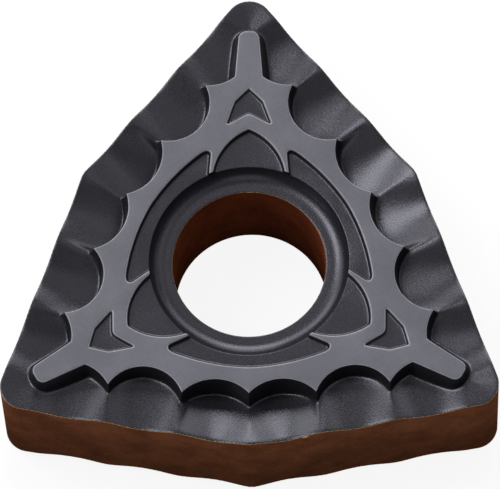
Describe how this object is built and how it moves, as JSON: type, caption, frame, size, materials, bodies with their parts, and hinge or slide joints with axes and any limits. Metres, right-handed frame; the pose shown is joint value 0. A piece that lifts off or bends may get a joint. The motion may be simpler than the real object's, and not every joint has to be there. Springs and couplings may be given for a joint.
{
  "type": "indexable turning insert",
  "caption": "Double-sided trigon turning insert with a scalloped chip groove, a raised seat web with ribs to its cutting corners, and a clamping hole.",
  "frame": {"origin": "centre of the clamping hole, halfway between the two seat faces", "axes": "+Z along the hole, out of the upper seat face; +Y from the hole to one cutting corner"},
  "size_m": [0.0166, 0.0158, 0.0052],
  "materials": {
    "coated_carbide": "satin"
  },
  "bodies": {
    "root": {"insert_body": "coated_carbide"}
  },
  "joints": []
}
